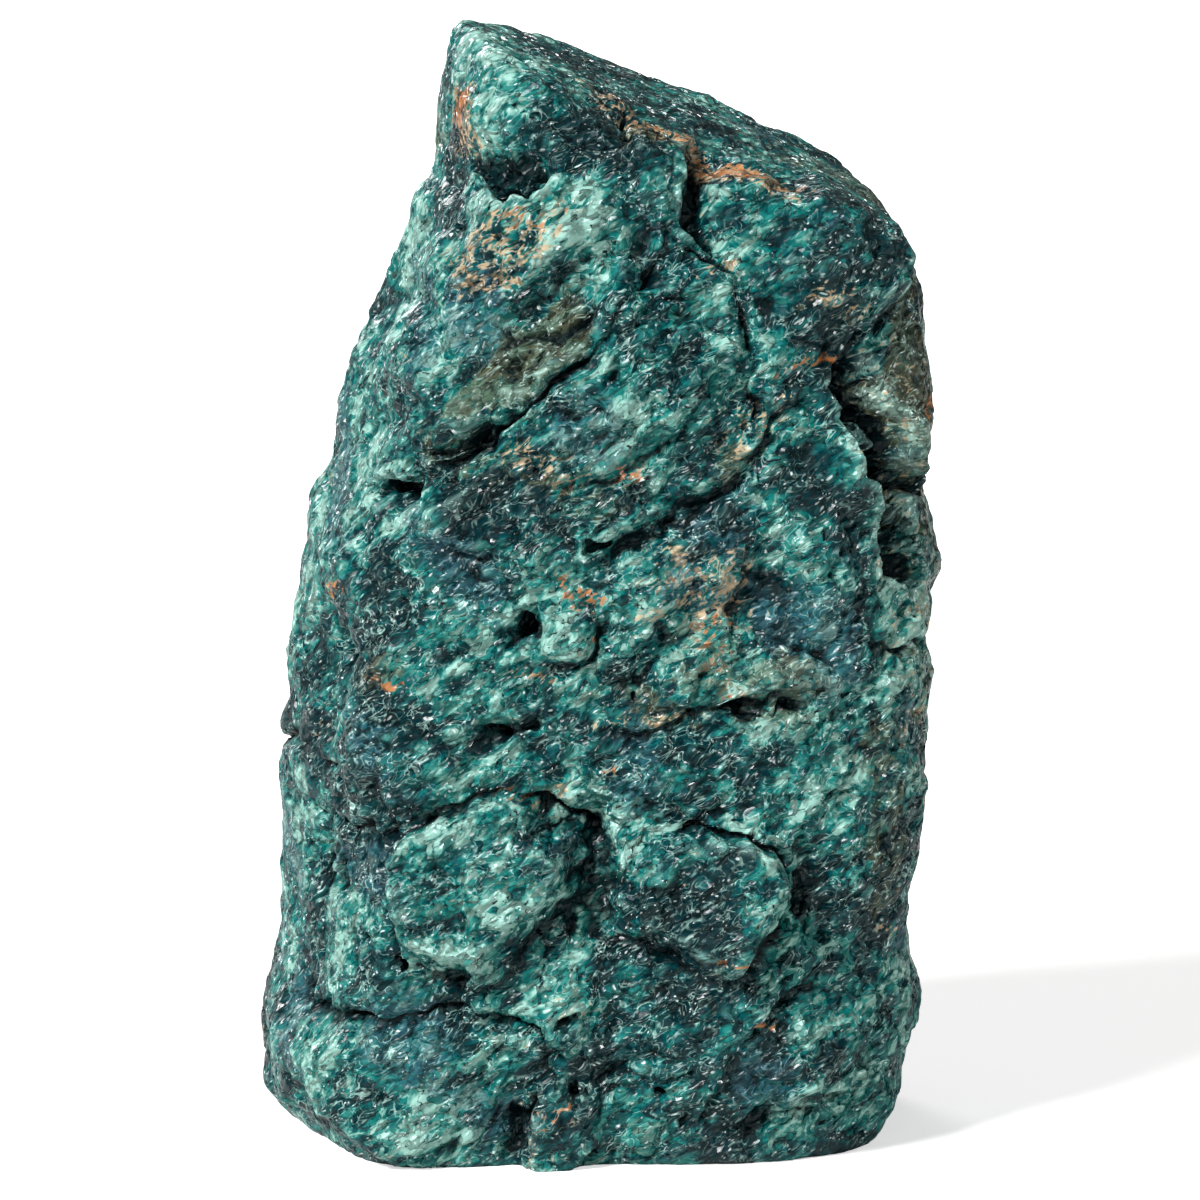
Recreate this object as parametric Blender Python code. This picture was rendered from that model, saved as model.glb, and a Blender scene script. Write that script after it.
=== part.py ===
"""Apatite tower: one rough lump of blue-green apatite that stands upright on the flat of its underside.

The stone is a blank whose skin is drawn onto a set of broken faces. Lumps, hollows, ledges, blocks and
cracks are then worked into the skin, and a flat foot is cut across the underside. Sizes below are
millimetres, the model is in metres, +Z is up and the side that shows best faces -Y.
"""

import math
from typing import NamedTuple

import bmesh
import bpy
import numpy as np

# Driving dimensions, in millimetres
WIDTH = 136.0
DEPTH = 98.0
HEIGHT = 220.0
SPINE_LOW = (-2.0, 1.0, 46.0)
SPINE_HIGH = (4.0, 4.0, 150.0)
FOOT_CUT = 2.4
FOOT_SNAP = 0.01
TO_METRES = 0.001

# The stone's reach to each side by height above the foot, as (height, reach)
LEFT_EDGE = (
    (0, -64.5), (8, -68), (20, -68.2), (40, -64.2), (62, -61.5), (76, -64.2), (98, -61.4), (118, -58),
    (130, -52.8), (142, -50.8), (158, -47.2), (174, -41.4), (183, -38), (189, -33.5), (202, -31.8),
    (212, -31), (218, -29.5), (224, -26.5),
)
RIGHT_EDGE = (
    (0, 57), (10, 60), (21, 61.5), (33, 62.7), (45, 62), (62, 63.7), (90, 65.7), (102, 66.5),
    (118, 66.3), (134, 63.7), (146, 66), (162, 65), (178, 61), (186, 57), (195, 54), (224, 47),
)
FRONT_EDGE = (
    (0, -44), (12, -45.5), (40, -46), (80, -45), (120, -43.5), (160, -39.5), (185, -36), (200, -31),
    (212, -24), (224, -16),
)
BACK_EDGE = ((0, 43), (15, 45.5), (60, 46), (110, 44.5), (150, 41), (180, 36.5), (205, 30), (224, 22))

# How sharp the edges between the broken faces are, and how soft the way that features fade round them
EDGE_SHARPNESS = 28.0
FADE_SOFTNESS = 5.0
FADE_FROM, FADE_TO = 0.02, 0.62

# How the skin is made
FURTHEST = 170.0
HALVINGS = 18
SLOPE_STEP = 0.5
BLANK_CUTS = 110
SKIN_TRIANGLES = 9400

# Every rim wanders along a swell of this height and pitch, one across and one up
RIM_WANDER, RIM_PITCH = 1.3, 17.0
RIM_SEEDS = (41, 42)

# A lump is a broken polygon with a bevel down to each side and a tilted top. No bevel is narrower than this,
# so that the skin's triangles can follow it
LUMP_CORNERS = 6
LUMP_REACH = (0.75, 1.1)
LUMP_TURN = 0.3
LUMP_BEVEL = 1.5
NARROWEST_BEVEL = 4.5
LUMP_TOP_TILT = 0.3

# A crack is a groove of this share of its depth
CRACK_GROOVE = 0.6

# A ledge climbs over this share of its pitch and drops in the rest
LEDGE_CLIMB = 0.75
LEDGE_WANDER, LEDGE_SWELL, LEDGE_SEED = 0.25, 5.0, 31

# Blocks are longer along the grain, which leans, and their cells are bent by swells. No facet is tilted by
# more than this share of its dome, because a steeper one would reach past the cells beside it
TILT_LIMIT = 1.7
GRAIN_LEAN, GRAIN_STRETCH = 30.0, 1.2
BLOCK_BEND, BLOCK_SWELL, BLOCK_WAVES = 0.22, 2.4, 5
NEAR_CELLS = range(-1, 2)
CELL_STEPS = (7919, 104729, 1299709)
CELL_TABLE = 4093

# The sides keep less of the blocks and the underside less of everything
SIDE_CALM = 0.7
UNDERSIDE_CALM = 0.75
UNDERSIDE_FROM, UNDERSIDE_TO = 0.4, 0.9

# The finish
STONE_COLOUR = (0.022, 0.115, 0.118, 1.0)
STONE_ROUGHNESS = 0.42


class Side(NamedTuple):
    """A broken upright side of the section: its turn from the front, and its distance in half widths."""

    turn: float
    out: float


class Face(NamedTuple):
    """A broken face: its turn from the front towards the right, its upward tilt and its distance out."""

    turn: float
    tilt: float
    out: float


class Lump(NamedTuple):
    """A lump, or a hollow where lift is negative, on the side that looks along turn."""

    turn: float
    across: float
    up: float
    wide: float
    high: float
    lift: float
    lean: float = 0.0
    square: float = 1.0


class Crack(NamedTuple):
    """A crack through the points (across, up) on the side that looks along turn."""

    turn: float
    wide: float
    deep: float
    points: tuple


class Ledges(NamedTuple):
    """Parallel ledges that lean over the region of a lump, one every pitch."""

    region: Lump
    pitch: float
    lean: float
    rise: float


class Blocks(NamedTuple):
    """Broken blocks of one size all over the stone, or scoops that meet in ridges where hollow is set."""

    size: float
    level: float
    tilt: float
    dome: float
    crisp: float
    seed: int
    hollow: bool = False


class Swell(NamedTuple):
    """A smooth wave all over the stone."""

    lift: float
    pitch: float
    seed: int


SIDES = (
    Side(2, 0.99),
    Side(-75, 0.99),
    Side(-47, 1.18),
    Side(-118, 1.04),
    Side(34, 1.17),
    Side(60, 1.16),
    Side(92, 1.0),
    Side(140, 1.16),
    Side(178, 0.99),
    Side(-146, 1.16),
)

FACES = (
    Face(70, 66.4, 89.2),
    Face(88, 46, 97.2),
    Face(176, 50, 104),
    Face(0, -90, 110.5),
    Face(8, -62, 121),
    Face(180, -58, 119),
)

LUMPS = (
    # The front, from the top down: the cave under the top edge, the valley and the block beside it
    Lump(0, -18, 194, 19, 13, -6.5, -8),
    Lump(0, -2, 203, 34, 14, -3.0, -6),
    Lump(0, -28, 203, 13, 22, 2.5, 8),
    Lump(0, 22, 197, 12, 14, -4.5, 0, 0.7),
    Lump(0, 19, 189, 8, 24, -5.5, 12, 0.7),
    Lump(0, 9, 190, 9, 18, 2.0, 14, 0.6),
    Lump(10, 41, 176, 36, 36, 6.5, 16, 0.6),
    Lump(0, 33, 192, 16, 10, 2.5, 40),
    Lump(0, -36, 178, 14, 30, 2.0, 22),
    Lump(0, -38, 156, 16, 24, 3.0, 10),
    # The trough that runs down to the left, and the grooved slab below it
    Lump(0, -6, 182, 38, 12, 2.5, 34),
    Lump(0, -14, 166, 60, 16, -4.5, 38),
    Lump(0, 12, 158, 46, 34, 4.5, 36, 0.6),
    Lump(0, -28, 142, 18, 9, -4.5, 20),
    Lump(0, -43, 132, 9, 8, -4.0, 10),
    Lump(-10, -24, 128, 46, 12, 3.0, 32),
    Lump(0, 14, 127, 40, 11, -3.0, 32),
    # The right edge: the lens, the deep pocket and the smooth hollow face
    Lump(20, 42, 136, 25, 25, 3.5, 0, 0.5),
    Lump(30, 33.5, 138, 14, 50, -13.0, 16, 0.45),
    Lump(0, 35, 111, 22, 26, -3.5, 24, 0.7),
    # The middle band
    Lump(0, -17, 106, 12, 12, -5.0, 30),
    Lump(0, 8, 112, 26, 22, 2.5, 20),
    Lump(-20, -38, 112, 30, 20, 3.5, 25),
    Lump(-30, -36, 101, 15, 9, -5.5, 0),
    Lump(0, 32, 92, 24, 7, -4.5, 6),
    Lump(0, -24, 88, 22, 8, -3.5, 6),
    Lump(0, -44, 82, 34, 22, 2.0, -6),
    Lump(0, 12, 82, 34, 16, 2.5, 8),
    # The two domes, with the step to the right of the second one
    Lump(0, -24, 58, 37, 38, 6.5, 0, 0.5),
    Lump(0, 20, 57, 35, 30, 6.0, 0, 0.5),
    Lump(0, -2, 60, 11, 36, -4.0),
    Lump(0, 44, 56, 15, 26, -4.0, 4),
    Lump(-24, -44, 58, 14, 22, -4.5, -10),
    # The lobes along the foot
    Lump(-10, -36, 18, 46, 34, 4.0, 4, 0.7),
    Lump(0, -9, 9, 17, 26, 3.5, -8, 0.7),
    Lump(0, 28, 24, 56, 30, 3.0, -4, 0.7),
    Lump(0, -6, 30, 16, 18, 3.0, 10),
    Lump(0, -18, 6, 8, 18, -4.0, 6),
    # The left side
    Lump(-88, 2, 170, 44, 34, -3.5, 20),
    Lump(-88, -14, 132, 40, 30, 0.8, 30),
    Lump(-88, 16, 98, 40, 40, -3.5, 14),
    Lump(-88, -8, 62, 48, 26, 1.2, 8),
    Lump(-75, 4, 20, 60, 26, 4.0),
    # The back
    Lump(180, 20, 178, 46, 34, -5.5, 24),
    Lump(180, -24, 160, 50, 34, 5.0, -28, 0.6),
    Lump(180, 26, 130, 64, 26, 4.5, 30, 0.6),
    Lump(180, -10, 108, 70, 22, -6.0, 28),
    Lump(180, -30, 74, 50, 44, 4.5, 10, 0.6),
    Lump(180, 32, 70, 40, 46, -5.0, -10),
    Lump(180, 6, 30, 60, 26, 4.5, 8, 0.6),
    # The right side
    Lump(92, 10, 164, 40, 40, -2.2, 10),
    Lump(92, -6, 118, 38, 26, 3.0),
    Lump(92, 18, 86, 44, 36, -3.0, -14),
    Lump(88, -8, 58, 34, 26, -2.0),
    Lump(90, 4, 26, 54, 26, 3.5),
    # The slanting top
    Lump(20, 4, 214, 40, 14, -2.0, -20),
)

CRACKS = (
    # The seam over the left dome, the arc over the right one, and the seam above the foot lobes
    Crack(0, 2.6, 4.5, ((-60, 68), (-39, 68), (-34, 74), (-24, 75.5), (-9, 74), (-3, 68))),
    Crack(0, 2.2, 3.5, ((4, 60), (9, 68), (20, 71), (29, 68), (36, 62), (37, 46))),
    Crack(0, 3.0, 5.5, ((-63, 30), (-50, 31.5), (-42, 33), (-24, 34), (-13, 31), (-9, 24), (-16, 10))),
    # The cracks by the valley and along the slab
    Crack(0, 1.8, 3.5, ((4, 203), (9, 201), (15, 202))),
    Crack(0, 2.0, 3.5, ((17, 181), (25, 174), (29, 165), (31, 157), (30, 149))),
    Crack(0, 2.2, 3.0, ((-38, 137), (-26, 142), (-12, 152), (2, 165), (10, 178))),
    Crack(0, 2.2, 3.0, ((14, 92), (24, 93), (34, 90), (46, 96))),
    # The hidden sides
    Crack(180, 3.0, 5.0, ((-50, 96), (-20, 112), (14, 118), (44, 140))),
    Crack(180, 2.8, 4.0, ((10, 14), (4, 40), (10, 62), (2, 96))),
    Crack(-90, 2.8, 4.0, ((-30, 74), (0, 80), (30, 78))),
    Crack(90, 2.8, 4.0, ((-34, 104), (-6, 102), (30, 110))),
)

LEDGES = (
    Ledges(Lump(0, -2, 146, 96, 80, 1, 32), 7.5, 33, 2.0),
    Ledges(Lump(-85, 0, 120, 90, 150, 1, 0), 14.0, 22, 1.0),
    Ledges(Lump(180, 0, 110, 130, 190, 1, 0), 15.0, 28, 2.4),
    Ledges(Lump(92, 0, 110, 90, 170, 1, 0), 13.0, -12, 1.0),
)

BLOCKS = (Blocks(34.0, 1.8, 0.09, 0.09, 1.5, 5, True), Blocks(14.0, 1.3, 0.17, 0.13, 3.0, 9))

SWELLS = (Swell(0.8, 60.0, 3), Swell(0.5, 22.0, 4))


def smooth_step(low, high, value):
    """0 below low and 1 above high, with a smooth rise between them."""
    part = np.clip((value - low) / (high - low), 0.0, 1.0)
    return part * part * (3.0 - 2.0 * part)


def upright_axes(turn):
    """The outward and the across direction of the side that looks along turn."""
    angle = math.radians(turn)
    out = np.array((math.sin(angle), -math.cos(angle), 0.0))
    across = np.array((math.cos(angle), math.sin(angle), 0.0))
    return out, across


def face_normal(face):
    """The outward normal of a broken face."""
    tilt = math.radians(face.tilt)
    out, _ = upright_axes(face.turn)
    return out * math.cos(tilt) + np.array((0.0, 0.0, math.sin(tilt)))


def swell(points, pitch, seed, waves=10):
    """A smooth wavy field between about -1 and 1: sines along seeded directions, one wave every pitch."""
    random = np.random.default_rng(seed)
    heading = random.normal(size=(waves, 3))
    heading /= np.linalg.norm(heading, axis=1, keepdims=True)
    rate = 2.0 * math.pi / pitch * random.uniform(0.7, 1.4, waves)
    phase = random.uniform(0.0, 2.0 * math.pi, waves)
    return np.sin(points @ (heading * rate[:, None]).T + phase).sum(axis=1) / math.sqrt(waves)


def reach_at(height, edge):
    """The stone's reach at each height, read from one of its edges."""
    heights, reaches = zip(*edge)
    return np.interp(height, heights, reaches)


def fullness(points, sharpness):
    """Under 1 inside the stone and over 1 outside: a power sum over its sides and its slanting faces."""
    height = points[:, 2]
    left, right = reach_at(height, LEFT_EDGE), reach_at(height, RIGHT_EDGE)
    front, back = reach_at(height, FRONT_EDGE), reach_at(height, BACK_EDGE)
    across = (2.0 * points[:, 0] - left - right) / (right - left)
    away = (2.0 * points[:, 1] - front - back) / (back - front)
    total = np.zeros(len(points))
    for side in SIDES:
        out, _ = upright_axes(side.turn)
        share = (across * out[0] + away * out[1]) / side.out
        total += np.maximum(0.0, share) ** sharpness
    for face in FACES:
        share = (points - np.array((0.0, 0.0, HEIGHT / 2))) @ face_normal(face) / face.out
        total += np.maximum(0.0, share) ** sharpness
    return total ** (1.0 / sharpness)


def outward(points, sharpness):
    """The outward unit normals: how the fullness rises over a step along each axis."""
    here = fullness(points, sharpness)
    slopes = [fullness(points + step, sharpness) - here for step in SLOPE_STEP * np.eye(3)]
    normal = np.stack(slopes, axis=1)
    return normal / np.linalg.norm(normal, axis=1, keepdims=True)


def grain_axes():
    """Axes that lean with the stone's grain and are shorter across it, so that blocks are longer along it."""
    lean = math.radians(GRAIN_LEAN)
    along = np.array((math.cos(lean), 0.0, math.sin(lean))) / GRAIN_STRETCH
    over = np.array((-math.sin(lean), 0.0, math.cos(lean))) * GRAIN_STRETCH
    return np.stack((along, np.array((0.0, 1.0, 0.0)), over), axis=1)


def drawn_skin(blank):
    """Each blank point's ray from the spine: its origin, its direction and its length inside the stone."""
    low, high = np.array(SPINE_LOW), np.array(SPINE_HIGH)
    along = np.clip((blank[:, 2] - low[2]) / (high[2] - low[2]), 0.0, 1.0)
    origin = low + along[:, None] * (high - low)
    ray = blank - origin
    ray /= np.linalg.norm(ray, axis=1, keepdims=True)
    near, far = np.zeros(len(blank)), np.full(len(blank), FURTHEST)
    for _ in range(HALVINGS):
        middle = (near + far) / 2
        inside = fullness(origin + ray * middle[:, None], EDGE_SHARPNESS) < 1.0
        near, far = np.where(inside, middle, near), np.where(inside, far, middle)
    return origin, ray, near


def on_side(points, facing, turn):
    """The places across and up that side, and how much of the skin there looks that way."""
    out, across = upright_axes(turn)
    shown = smooth_step(FADE_FROM, FADE_TO, facing @ out)
    bend_across, bend_up = (RIM_WANDER * swell(points, RIM_PITCH, seed) for seed in RIM_SEEDS)
    return points @ across + bend_across, points[:, 2] + bend_up, shown


def lump_share(lump, points, facing):
    """About 1 on the lump's tilted top and 0 at its rim: a leaning broken polygon with bevelled sides."""
    across, up, shown = on_side(points, facing, lump.turn)
    lean = math.radians(lump.lean)
    a, b = across - lump.across, up - lump.up
    along = 2.0 * (a * math.cos(lean) + b * math.sin(lean)) / lump.wide
    over = 2.0 * (b * math.cos(lean) - a * math.sin(lean)) / lump.high
    random = np.random.default_rng(abs(round(lump.turn + 7 * lump.across + 131 * lump.up)))
    gauge = np.hypot(along, over) / LUMP_REACH[1]
    for side in np.arange(LUMP_CORNERS) + random.uniform(-LUMP_TURN, LUMP_TURN, LUMP_CORNERS):
        way = 2.0 * math.pi * side / LUMP_CORNERS
        distance = random.uniform(*LUMP_REACH)
        gauge = np.maximum(gauge, (along * math.cos(way) + over * math.sin(way)) / distance)
    tilt = random.uniform(-LUMP_TOP_TILT, LUMP_TOP_TILT, 2)
    top = 1.0 + tilt[0] * along + tilt[1] * over
    steepness = min(LUMP_BEVEL / lump.square, min(lump.wide, lump.high) / (2.0 * NARROWEST_BEVEL))
    return shown * np.clip(steepness * (1.0 - gauge), 0.0, np.maximum(top, 0.0))


def bell(share):
    """1 at 0 and 0 from 1 outwards, level at both ends."""
    return np.clip(1.0 - share * share, 0.0, 1.0) ** 2


def crack_relief(crack, points, facing):
    """A groove along the crack's line, deepest on the line."""
    across, up, shown = on_side(points, facing, crack.turn)
    nearest = np.full(len(points), np.inf)
    for (a0, b0), (a1, b1) in zip(crack.points, crack.points[1:]):
        da, db = a1 - a0, b1 - b0
        part = ((across - a0) * da + (up - b0) * db) / (da * da + db * db)
        part = np.clip(part, 0.0, 1.0)
        gap = np.hypot(across - a0 - part * da, up - b0 - part * db)
        nearest = np.minimum(nearest, gap)
    return -shown * CRACK_GROOVE * crack.deep * bell(nearest / crack.wide)


def ledge_relief(ledges, points, facing):
    """Slanting ledges: each rises slowly along its pitch and drops back at its end."""
    across, up, _ = on_side(points, facing, ledges.region.turn)
    lean = math.radians(ledges.lean)
    over = up * math.cos(lean) - across * math.sin(lean)
    wander = LEDGE_WANDER * swell(points, LEDGE_SWELL * ledges.pitch, LEDGE_SEED)
    part = (over / ledges.pitch + wander) % 1.0
    step = np.where(part < LEDGE_CLIMB, part / LEDGE_CLIMB, (1.0 - part) / (1.0 - LEDGE_CLIMB))
    return ledges.rise * (step - 0.5) * lump_share(ledges.region, points, facing)


def block_relief(blocks, points):
    """The soft upper envelope of a facet for each cell, with a level, a tilt and a dome of its own."""
    random = np.random.default_rng(blocks.seed)
    place = random.random((CELL_TABLE, 3))
    level = random.uniform(-0.5, 0.5, CELL_TABLE) * blocks.level
    tilt = random.normal(size=(CELL_TABLE, 3)) * blocks.tilt * blocks.size
    steepness = np.linalg.norm(tilt, axis=1, keepdims=True)
    tilt *= np.minimum(1.0, TILT_LIMIT * blocks.dome * blocks.size / steepness)
    bend = [swell(points, BLOCK_SWELL * blocks.size, blocks.seed + i, BLOCK_WAVES) for i in range(3)]
    grid = (points / blocks.size + BLOCK_BEND * np.stack(bend, axis=1)) @ grain_axes()
    corner = np.floor(grid).astype(int)
    total = np.zeros(len(points))
    for step in ((x, y, z) for x in NEAR_CELLS for y in NEAR_CELLS for z in NEAR_CELLS):
        cell = corner + np.array(step)
        key = (cell @ np.array(CELL_STEPS)) % CELL_TABLE
        offset = grid - cell - place[key]
        height = level[key] + (offset * tilt[key]).sum(axis=1)
        height -= blocks.dome * blocks.size * (offset * offset).sum(axis=1)
        total += np.exp(blocks.crisp * height)
    height = np.log(total) / blocks.crisp
    height -= height.mean()
    return -height if blocks.hollow else height


def relief(points):
    """How far the skin stands out from the broken faces at each point."""
    facing = outward(points, FADE_SOFTNESS)
    rise = np.zeros(len(points))
    for wave in SWELLS:
        rise += wave.lift * swell(points, wave.pitch, wave.seed)
    for lump in LUMPS:
        rise += lump.lift * lump_share(lump, points, facing)
    for ledges in LEDGES:
        rise += ledge_relief(ledges, points, facing)
    for crack in CRACKS:
        rise += crack_relief(crack, points, facing)
    for blocks in BLOCKS:
        rise += block_relief(blocks, points) * (1.0 - SIDE_CALM * facing[:, 0] ** 2)
    normal = outward(points, EDGE_SHARPNESS)
    underside = smooth_step(UNDERSIDE_FROM, UNDERSIDE_TO, -normal[:, 2])
    return rise * (1.0 - UNDERSIDE_CALM * underside)


def mesh_points(mesh):
    """The mesh's points as one array."""
    flat = np.empty(len(mesh.vertices) * 3)
    mesh.vertices.foreach_get("co", flat)
    return flat.reshape(-1, 3)


def blank_mesh():
    """A box of the stone's size, divided finely enough to carry its relief."""
    mesh = bpy.data.meshes.new("apatite_stone")
    shaped = bmesh.new()
    bmesh.ops.create_cube(shaped, size=1.0)
    bmesh.ops.subdivide_edges(shaped, edges=shaped.edges[:], cuts=BLANK_CUTS, use_grid_fill=True)
    bmesh.ops.triangulate(shaped, faces=shaped.faces[:])
    shaped.to_mesh(mesh)
    shaped.free()
    return mesh


def shape_skin(mesh):
    """Draws the blank onto the broken faces and works the relief into it, in millimetres."""
    size = np.array((WIDTH, DEPTH, HEIGHT))
    blank = mesh_points(mesh) * size + np.array((0.0, 0.0, HEIGHT / 2))
    origin, ray, length = drawn_skin(blank)
    length += relief(origin + ray * length[:, None])
    skin = origin + ray * length[:, None]
    mesh.vertices.foreach_set("co", skin.ravel())
    mesh.update()


def apply_modifiers(item):
    """Puts the object's evaluated mesh in the place of its own, and removes its modifiers."""
    bpy.context.view_layer.update()
    seen = item.evaluated_get(bpy.context.evaluated_depsgraph_get())
    made = bpy.data.meshes.new_from_object(seen)
    item.modifiers.clear()
    earlier = item.data
    item.data = made
    bpy.data.meshes.remove(earlier)
    made.name = item.name


def thin_out(stone):
    """Lets the skin keep its triangles where its relief needs them, and drops the rest."""
    thinner = stone.modifiers.new("thin_out", "DECIMATE")
    thinner.ratio = SKIN_TRIANGLES / len(stone.data.polygons)
    apply_modifiers(stone)


def cut_foot(stone, group):
    """Cuts the underside off level, which leaves the flat that the stone stands on."""
    level = mesh_points(stone.data)[:, 2].min() + FOOT_CUT
    mesh = bpy.data.meshes.new("foot_cutter")
    shaped = bmesh.new()
    bmesh.ops.create_cube(shaped, size=2.0 * WIDTH)
    shaped.to_mesh(mesh)
    shaped.free()
    cutter = bpy.data.objects.new("foot_cutter", mesh)
    cutter.location = (0.0, 0.0, level - WIDTH)
    cutter.hide_render = True
    cutter.display_type = "WIRE"
    group.objects.link(cutter)
    cut = stone.modifiers.new("foot", "BOOLEAN")
    cut.operation = "DIFFERENCE"
    cut.object = cutter
    apply_modifiers(stone)
    bpy.data.objects.remove(cutter, do_unlink=True)


def settle(mesh):
    """Brings the stone to its exact size in metres, on the ground with the origin below its middle."""
    points = mesh_points(mesh)
    low, high = points.min(axis=0), points.max(axis=0)
    size = np.array((WIDTH, DEPTH, HEIGHT))
    points = (points - (low + high) / 2) * size / (high - low)
    points[:, 2] += HEIGHT / 2
    points[points[:, 2] < FOOT_SNAP, 2] = 0.0
    mesh.vertices.foreach_set("co", (points * TO_METRES).ravel())
    mesh.update()


def stone_material():
    """Blue-green apatite, dull where it is broken across the grain and glassy on single grains."""
    material = bpy.data.materials.new("apatite")
    material.use_nodes = True
    shader = material.node_tree.nodes["Principled BSDF"]
    shader.inputs["Base Color"].default_value = STONE_COLOUR
    shader.inputs["Roughness"].default_value = STONE_ROUGHNESS
    shader.inputs["Metallic"].default_value = 0.0
    return material


def main():
    """Builds the stone in its own collection."""
    for item in list(bpy.data.objects):
        bpy.data.objects.remove(item, do_unlink=True)
    group = bpy.data.collections.new("apatite_tower")
    cutters = bpy.data.collections.new("cutters")
    for collection in (group, cutters):
        bpy.context.scene.collection.children.link(collection)
    stone = bpy.data.objects.new("apatite_stone", blank_mesh())
    group.objects.link(stone)
    shape_skin(stone.data)
    thin_out(stone)
    cut_foot(stone, cutters)
    settle(stone.data)
    stone.data.materials.append(stone_material())


main()
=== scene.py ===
"""The looks of the apatite tower: its broken skin down to single grains, its stains, and a white studio.

The large form repeats the solid's own sides, faces and lumps, so the skin lies on the solid. Blocks, grains,
pits and slits finer than the solid holds are added here. Lengths are millimetres unless a name says
otherwise, +Z is up and the side that shows best faces -Y.
"""

import logging
import math
from dataclasses import dataclass, field
from enum import Enum
from typing import Any

import bpy
import numpy as np
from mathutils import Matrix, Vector
from numpy.typing import NDArray


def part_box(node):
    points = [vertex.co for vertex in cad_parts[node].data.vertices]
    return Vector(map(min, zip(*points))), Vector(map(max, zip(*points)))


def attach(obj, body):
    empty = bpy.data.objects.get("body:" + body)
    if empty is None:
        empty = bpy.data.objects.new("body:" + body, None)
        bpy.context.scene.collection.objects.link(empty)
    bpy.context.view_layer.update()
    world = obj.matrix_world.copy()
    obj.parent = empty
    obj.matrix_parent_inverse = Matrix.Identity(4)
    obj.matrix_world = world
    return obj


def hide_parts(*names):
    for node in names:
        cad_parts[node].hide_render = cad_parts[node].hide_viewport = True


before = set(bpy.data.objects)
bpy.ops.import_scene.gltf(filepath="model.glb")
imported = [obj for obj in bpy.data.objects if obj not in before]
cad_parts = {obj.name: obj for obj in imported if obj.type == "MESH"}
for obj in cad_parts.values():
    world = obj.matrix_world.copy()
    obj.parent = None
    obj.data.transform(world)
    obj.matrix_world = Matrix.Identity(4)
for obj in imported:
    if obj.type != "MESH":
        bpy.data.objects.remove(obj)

Array = NDArray[np.float64]
Pair = tuple[float, float]
Pairs = tuple[Pair, ...]
Rows = tuple[tuple[float, ...], ...]
Stops = tuple[tuple[float, str], ...]

NODE = "apatite_stone"
BODY = "root"
TO_METRES = 0.001
LOG = logging.getLogger("apatite_tower")


class Tint(Enum):
    """What colours a patch of the stone: the name of the mesh attribute that its finish reads."""

    RUST = "rust"
    BUFF = "buff"
    OLIVE = "olive"
    SLATE = "slate"
    DEEP = "deep"
    MINT = "mint"


def smooth_step(low: float, high: float, value: Array) -> Array:
    """Rises smoothly from 0 to 1: 3t^2 - 2t^3 of the clipped share t of the way from low to high."""
    part = np.clip((value - low) / (high - low), 0.0, 1.0)
    return part * part * (3.0 - 2.0 * part)


def bell(share: Array) -> Array:
    """1 at 0 and 0 from 1 outwards, level at both ends: (1 - share^2)^2."""
    return np.clip(1.0 - share * share, 0.0, 1.0) ** 2


def upright_axes(turn: float) -> tuple[Array, Array]:
    """The level unit vectors out of and across the side at turn: (sin, -cos) and (cos, sin)."""
    angle = math.radians(turn)
    out = np.array((math.sin(angle), -math.cos(angle), 0.0))
    across = np.array((math.cos(angle), math.sin(angle), 0.0))
    return out, across


def swell(points: Array, pitch: float, seed: int, waves: int = 10, rates: Pair = (0.7, 1.4)) -> Array:
    """A smooth wavy field, mostly from -1.5 to 1.5: seeded sines summed, over the root of their count.

    Args:
        points: where the field is read, as rows of x, y and z.
        pitch: the length of one wave.
        seed: picks the waves.
        waves: how many sines are summed.
        rates: the fewest and the most waves that a sine has on one pitch.

    Returns:
        One value for each point.
    """
    random = np.random.default_rng(seed)
    heading = random.normal(size=(waves, 3))
    heading /= np.linalg.norm(heading, axis=1, keepdims=True)
    rate = 2.0 * math.pi / pitch * random.uniform(*rates, waves)
    phase = random.uniform(0.0, 2.0 * math.pi, waves)
    total = np.zeros(len(points))
    for way, start in zip(heading * rate[:, None], phase):
        total += np.sin(points @ way + start)
    return total / math.sqrt(waves)


@dataclass
class Skin:
    """Points of the skin before its relief, with what each feature on them needs.

    A turn is in degrees from the front towards the right.
    """

    points: Array
    normal: Array
    facing: Array
    rim_wander: float = 1.3
    rim_pitch: float = 17.0
    notch_wander: float = 0.5
    notch_pitch: float = 5.0
    fade: Pair = (0.02, 0.62)
    seen: dict[float, tuple[Array, Array, Array]] = field(default_factory=dict)

    def __post_init__(self) -> None:
        """Works out the wander that every rim shares: a long wave and a short one each way."""
        self.bend = [
            self.rim_wander * swell(self.points, self.rim_pitch, seed)
            + self.notch_wander * swell(self.points, self.notch_pitch, seed + 2)
            for seed in (41, 42)
        ]

    def seen_from(self, turn: float) -> tuple[Array, Array, Array]:
        """The places across and up the side at turn, and how much of the skin looks that way."""
        if turn not in self.seen:
            out, across = upright_axes(turn)
            shown = smooth_step(*self.fade, self.facing @ out)
            self.seen[turn] = (self.points @ across + self.bend[0], self.points[:, 2] + self.bend[1], shown)
        return self.seen[turn]


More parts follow.
